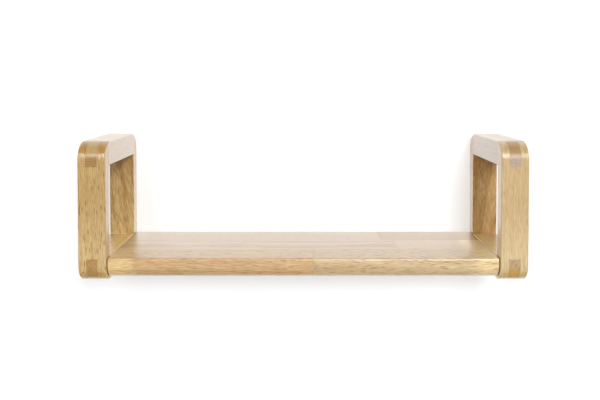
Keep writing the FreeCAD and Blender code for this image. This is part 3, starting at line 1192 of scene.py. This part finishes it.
@dataclass
class GluedBoard:
    """The board between the side frames: three rows of staves, each butted from two lengths."""

    blank: NodeTree
    lower_radius: float = 18.6
    upper_radius: float = 2.6
    end_arris: Arris = Arris(0.5, 3)
    corner_steps: int = 20
    end_gap: float = 0.8
    seam: float = 0.14
    butt: float = 0.18

    def blank_board(self) -> Object:
        """Makes the whole board before it is split into staves.

        Returns:
            A closed object with its edges rounded.
        """
        corners = [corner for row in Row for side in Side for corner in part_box(f"shelf_{row}_stave_{side}")]
        low = Vector([min(corner[axis] for corner in corners) for axis in Axis])
        high = Vector([max(corner[axis] for corner in corners) for axis in Axis])
        block = grow("board_blank", self.blank, {
            "Middle": (low + high) / 2, "Width": high.x - low.x - 2 * self.end_gap * MM, "Depth": high.y - low.y,
            "Height": high.z - low.z, "Upper radius": self.upper_radius * MM, "Lower radius": self.lower_radius * MM,
            "Corner steps": self.corner_steps,
        })
        self.end_arris.round_off(block, square_to(Axis.X))
        return block

    def stave_region(self, node: str, row: Row, side: Side) -> Mesh:
        """Makes the shape that cuts one stave from the board, half a glue line short of its neighbours.

        Args:
            node: The stave's CAD node.
            row: The row that it lies in.
            side: Which end of the row it makes up.

        Returns:
            The shape that is kept.
        """
        low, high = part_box(node)
        past = Vector((OVERRUN, OVERRUN, OVERRUN)) * MM
        region_low, region_high = low - past, high + past
        if side is Side.LEFT:
            region_high.x = high.x - self.butt / 2 * MM
        else:
            region_low.x = low.x + self.butt / 2 * MM
        if row is not Row.FRONT:
            region_low.y = low.y + self.seam / 2 * MM
        if row is not Row.REAR:
            region_high.y = high.y - self.seam / 2 * MM
        return box_mesh(region_low, region_high)

    def build(self, oak: dict[str, Material], bores: list[Mesh]) -> None:
        """Cuts the staves from the board and dresses them.

        Args:
            oak: The finish of each stave, by the name of its CAD node.
            bores: What the dowels take out of the board.
        """
        block = carve(self.blank_board(), Cut.REMOVE, bores)
        for row in Row:
            for side in Side:
                node = f"shelf_{row}_stave_{side}"
                piece = carve(copy_of(block, f"{node}_oak"), Cut.KEEP, [self.stave_region(node, row, side)])
                hand_in(piece, oak[node], node)
        discard(block)


@dataclass(frozen=True)
class Softbox:
    """A square lamp with a soft face. Places and sizes are in metres."""

    name: str
    place: Triple
    side_m: float
    power_w: float
    seen_in_reflections: bool = True

    def light(self, target: Vector) -> None:
        """Puts the lamp in the studio.

        Args:
            target: The place that it is aimed at.
        """
        data = bpy.data.lights.new(self.name, "AREA")
        data.shape = "SQUARE"
        data.size = self.side_m
        data.energy = self.power_w
        lamp = new_object(self.name, data)
        lamp.visible_glossy = self.seen_in_reflections
        lamp.location = self.place
        lamp.rotation_euler = (target - lamp.location).to_track_quat("-Z", "Y").to_euler()


@dataclass(frozen=True)
class PhotoCamera:
    """The photograph's camera, worked out from the shelf's edges in it, in pixels and millimetres."""

    image_width_px: float = 600.0
    image_height_px: float = 400.0
    focal_px: float = 605.35
    centre_column_px: float = 303.34
    centre_row_px: float = 95.33
    before_front: float = 732.4
    height: float = 249.3
    pitch_deg: float = 1.5
    sensor: float = 36.0

    def place(self, front_face_m: float) -> None:
        """Sets the camera up.

        Args:
            front_face_m: Where the side frames' front faces lie along Y.
        """
        data = bpy.data.cameras.new("photo_camera")
        data.sensor_width = self.sensor
        data.lens = self.focal_px * self.sensor / self.image_width_px
        data.shift_x = (self.image_width_px / 2 - self.centre_column_px) / self.image_width_px
        data.shift_y = (self.centre_row_px - self.image_height_px / 2) / self.image_width_px
        camera = new_object("photo_camera", data)
        camera.location = (0, front_face_m - self.before_front * MM, self.height * MM)
        camera.rotation_euler = (math.radians(90 - self.pitch_deg), 0, 0)
        bpy.context.scene.camera = camera


@dataclass(frozen=True)
class Studio:
    """The white wall that the shelf hangs on, the pale floor below it, the lamps and the air's even light."""

    wall_gap: float = 0.6
    floor_drop: float = 320.0
    reach_m: float = 6.0
    paint: str = "#CBCBCB"
    own_light: float = 0.44
    wall_in_reflections: float = 1.2
    floor_in_reflections: float = 0.15
    air: float = 0.064
    air_in_reflections: float = 0.8
    air_in_view: float = 1.0
    near_ray: float = 4.0
    wall_glow: Softbox = Softbox("wall_glow", (0.0, 0.085, 0.09), 2.4, 10.0, False)
    lamps: tuple[Softbox, ...] = (
        Softbox("key_softbox", (0.49, -1.98, 0.91), 0.5, 29.0),
        Softbox("fill_softbox", (-0.55, -1.98, 0.91), 0.8, 13.0),
        Softbox("front_low_softbox", (0.0, -1.8, -0.48), 1.0, 4.0),
        Softbox("low_softbox", (0.0, -0.62, -0.55), 0.7, 2.9, False),
        Softbox("top_softbox", (0.0, -0.62, 1.5), 0.6, 2.3),
        Softbox("left_softbox", (-2.0, -0.6, 0.5), 0.9, 8.0),
        Softbox("right_softbox", (2.0, -0.6, 0.5), 0.9, 13.0),
    )

    def glow(self, add: Add, lit: float, in_view: float, in_reflections: float) -> tuple[Any, Node]:
        """Adds the nodes that say how brightly something glows along each kind of ray.

        Args:
            add: The function that adds a node to the tree.
            lit: How brightly it glows on other things.
            in_view: How much it adds for the eye.
            in_reflections: How much it adds in reflections.

        Returns:
            The outputs of the light path, and the node with the strength.
        """
        path = add("ShaderNodeLightPath").outputs
        mirrored = add(MATH, [path["Is Glossy Ray"], in_reflections, lit], operation="MULTIPLY_ADD")
        return path, add(MATH, [path["Is Camera Ray"], in_view, mirrored], operation="MULTIPLY_ADD")

    def backdrop_paint(self, name: str, in_reflections: float) -> Material:
        """Matt white paint. It glows for the eye and in reflections only, so that it shows white round a soft shadow.

        Args:
            name: The material's name.
            in_reflections: How brightly it glows in reflections.

        Returns:
            The material. It is clear from behind and to rays that start very near it, so that the shelf's back shows.
        """
        made, add = new_material(name)
        path, strength = self.glow(add, 0.0, self.own_light, in_reflections)
        matt = add("ShaderNodeBsdfDiffuse", {"Color": linear_colour(self.paint)})
        lit = add("ShaderNodeAddShader", [matt, add("ShaderNodeEmission", {"Strength": strength})])
        backfacing = add("ShaderNodeNewGeometry").outputs["Backfacing"]
        near = add(MATH, [path["Ray Length"], self.near_ray * MM], operation="LESS_THAN")
        through = add(MATH, [backfacing, near], operation="MAXIMUM")
        surface = add("ShaderNodeMixShader", [through, lit, add("ShaderNodeBsdfTransparent")])
        add("ShaderNodeOutputMaterial", {"Surface": surface})
        return made

    def sheet(self, name: str, corners: Sequence[Triple], paint: Material) -> None:
        """Puts up one flat sheet of the studio, which lets lamps shine through and lights nothing itself.

        Args:
            name: The sheet's name.
            corners: Its corners, anticlockwise as seen from its painted side.
            paint: Its finish.
        """
        mesh = bpy.data.meshes.new(name)
        mesh.from_pydata(corners, [], [(0, 1, 2, 3)])
        mesh.materials.append(paint)
        made = new_object(name, mesh)
        made.visible_shadow = False
        made.visible_diffuse = False
        made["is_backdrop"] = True

    def light_air(self) -> None:
        """Gives the world an even white light, which looks brighter to the eye and in reflections."""
        world = bpy.data.worlds.new("studio_air")
        bpy.context.scene.world = world
        world.use_nodes = True
        world.node_tree.nodes.clear()
        add = partial(add_node, world.node_tree)
        strength = self.glow(add, self.air, self.air_in_view - self.air, self.air_in_reflections - self.air)[1]
        add("ShaderNodeOutputWorld", {"Surface": add("ShaderNodeBackground", {"Color": WHITE, "Strength": strength})})

    def build(self, low: Vector, high: Vector) -> None:
        """Sets up the wall, the floor, the lamps, the world's light and the camera.

        Args:
            low: The shelf's lowest corner.
            high: Its highest corner.
        """
        wall_y = high.y + self.wall_gap * MM
        floor_z = low.z - self.floor_drop * MM
        far = self.reach_m
        wall = [(x, wall_y, z) for x, z in ((-far, floor_z), (far, floor_z), (far, far), (-far, far))]
        floor = [(x, y, floor_z) for x, y in ((-far, -far), (far, -far), (far, wall_y), (-far, wall_y))]
        self.sheet("wall", wall, self.backdrop_paint("matt_wall_paint", self.wall_in_reflections))
        self.sheet("floor", floor, self.backdrop_paint("matt_floor_paint", self.floor_in_reflections))
        middle = (low + high) / 2
        for lamp in self.lamps:
            lamp.light(middle)
        self.wall_glow.light(Vector((middle.x, low.y, self.wall_glow.place[2])))
        self.light_air()
        PhotoCamera().place(low.y)
        bpy.context.scene.view_settings.view_transform = "Standard"


# The fixed seeds from which each hanger's screws get their turns.
SCREW_SEEDS = {Side.LEFT: 2, Side.RIGHT: 4}

DOWN, LEFT, RIGHT = (0, 0, -1), (-1, 0, 0), (1, 0, 0)
# The board's end grain shows only as the dark line of its joint with the frames, painted darker as shade in the gap.
JOINT_SHADE_END = "#6E4A24"
# The brown end grain of both rear posts.
REAR_END = "#A07C52"
# The look of end grain starts only where a rail's end is nearly square to its grain.
RAIL_END = {"end_range": (0.97, 0.985)}
REAR_POST = {
    "dark_tint": "#D4C09C", "ring_strength": 0.45, "pore_strength": 0.9, "streak_strength": 0.6, "fibre_strength": 1.0
}
REAR_STAVE = {"ring_strength": 0.2, "pore_share": 0.3, "streak_strength": 0.2}

FINISHES = {
    # A front post turns lighter towards its foot, end grain too: painted light from below.
    "left_front_post": LacqueredOak(
        Grain.ALONG_Z, (70, 25, 300), "#B99C66", "#AD8636", "#C8AF7E", PaintedLightReach(DOWN, -100, -30), "#C4A35E",
        ring_width=9.0, ring_strength=0.1, pore_share=1.3, pore_strength=1.0, streak_strength=0.15,
        fibre_strength=0.75,
    ),
    # A rear post is darker at its top and lighter lower down: the painted shadow of the top rail.
    "left_rear_post": LacqueredOak(
        Grain.ALONG_Z, (35, 50, 900), "#C3A36C", REAR_END, "#D5BB82", PaintedLightReach(DOWN, -128, -40), lean_deg=(4, 10, 0),
        ring_width=11.0, pore_share=0.35, **REAR_POST,
    ),
    # The top rail's pale greyish inner tone is partly painted reflection of the wall, turning golden outwards.
    "left_top_rail": LacqueredOak(
        Grain.ALONG_Y, (5, 60, 1500), "#B59F86", "#9F7C48", "#AF935C", PaintedLightReach(LEFT, 246, 260), top_coat=0.22,
        ring_width=3.4, ring_strength=0.1, pore_share=0.08, streak_strength=0.2, fibre_strength=0.4,
        end_ring_strength=0.6, **RAIL_END,
    ),
    "left_bottom_rail": LacqueredOak(
        Grain.ALONG_Y, (60, -40, 2100), "#F0CF84", "#AA8750", "#CFB07A", PaintedLightReach(LEFT, 250, 270), fibre_strength=0.35,
        end_ring_strength=0.0, end_range=(0.5, 0.8),
    ),
    # A front post turns lighter towards its foot, end grain too: painted light from below.
    "right_front_post": LacqueredOak(
        Grain.ALONG_Z, (-75, 30, 2700), "#C0A77D", "#BBA377", "#CDB88F", PaintedLightReach(DOWN, -100, -30), "#C8B078",
        ring_width=8.0, ring_strength=0.1, pore_share=0.15, streak_strength=0.2, fibre_strength=0.55,
    ),
    # A rear post is darker at its top and lighter lower down: the painted shadow of the top rail.
    "right_rear_post": LacqueredOak(
        Grain.ALONG_Z, (-40, 45, 3300), "#BF9557", REAR_END, "#D4B178", PaintedLightReach(DOWN, -138, -90), lean_deg=(-3, -7, 0),
        ring_width=13.0, pore_share=0.3, **REAR_POST,
    ),
    # The top rail's pale greyish inner tone is partly painted reflection of the wall, turning golden outwards.
    "right_top_rail": LacqueredOak(
        Grain.ALONG_Y, (-50, 40, 3900), "#AE9980", "#B1A192", "#9D7C4A", PaintedLightReach(RIGHT, 246, 260), top_coat=0.22,
        ring_width=3.0, ring_strength=0.12, pore_share=0.05, streak_strength=0.25, fibre_strength=0.4,
        end_ring_strength=0.5, **RAIL_END,
    ),
    "right_bottom_rail": LacqueredOak(
        Grain.ALONG_Y, (55, 45, 4500), "#E5C47A", "#B19775", "#BF9750", PaintedLightReach(RIGHT, 250, 270), fibre_strength=0.35,
        end_ring_strength=0.05, **RAIL_END,
    ),
    # Each stave turns lighter near its end at the side frame: painted light bounced from the frames.
    "shelf_front_stave_left": LacqueredOak(
        Grain.ALONG_X, (5, 50, 5100), "#C9A97C", JOINT_SHADE_END, "#E0C592", PaintedLightReach(LEFT, 200, 222), top_coat=0.22,
        ring_strength=0.32, pore_share=0.9, streak_strength=0.3, fibre_strength=0.8,
    ),
    "shelf_front_stave_right": LacqueredOak(
        Grain.ALONG_X, (-8, 60, 5700), "#CBB590", JOINT_SHADE_END, "#E8D3A8", PaintedLightReach(RIGHT, 200, 222), top_coat=0.08,
        ring_strength=0.28, pore_share=0.9, pore_strength=0.9, streak_strength=0.25, fibre_strength=0.7,
    ),
    "shelf_middle_stave_left": LacqueredOak(
        Grain.ALONG_X, (45, 4, 6300), "#B69B73", JOINT_SHADE_END, "#CCB18A", PaintedLightReach(LEFT, 202, 224), wander=14.0,
        ring_strength=0.8, pore_share=0.3, streak_strength=0.25,
    ),
    "shelf_middle_stave_right": LacqueredOak(
        Grain.ALONG_X, (50, 40, 6900), "#B69B69", JOINT_SHADE_END, "#DEC799", PaintedLightReach(RIGHT, 200, 222), pore_share=0.3,
        streak_strength=0.25,
    ),
    "shelf_rear_stave_left": LacqueredOak(
        Grain.ALONG_X, (60, -20, 7500), "#B39A75", JOINT_SHADE_END, "#C6AD86", PaintedLightReach(LEFT, 204, 226), **REAR_STAVE
    ),
    "shelf_rear_stave_right": LacqueredOak(
        Grain.ALONG_X, (-50, 30, 8100), "#A1814A", JOINT_SHADE_END, "#BC9C66", PaintedLightReach(RIGHT, 204, 226), **REAR_STAVE
    ),
}


def main() -> None:
    """Loads the frame, builds each part of the shelf round it and sets up the studio."""
    logging.basicConfig(level=logging.INFO, format="%(name)s: %(message)s")
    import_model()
    cad_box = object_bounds()
    figure = OakFigure().build()
    oak = {node: finish.material(node, figure) for node, finish in FINISHES.items()}
    beech = TurnedBeech().material()
    steel = ZincPlatedSteel().material()
    blank = rounded_blank_tree()
    dowel_form = fluted_dowels_tree()
    screw_form = plate_screws_tree()
    board_bores = []
    for side, screw_seed in SCREW_SEEDS.items():
        dowels = DowelRow(side, dowel_form)
        hanger = KeyholeHanger(side, screw_form, screw_seed)
        SideFrame(side, blank).build(oak, hanger.recesses(), dowels.bores())
        board_bores.extend(dowels.bores())
        dowels.build(beech)
        hanger.build(steel)
    GluedBoard(blank).build(oak, board_bores)
    Studio().build(*cad_box)


if __name__ == "__main__":
    main()
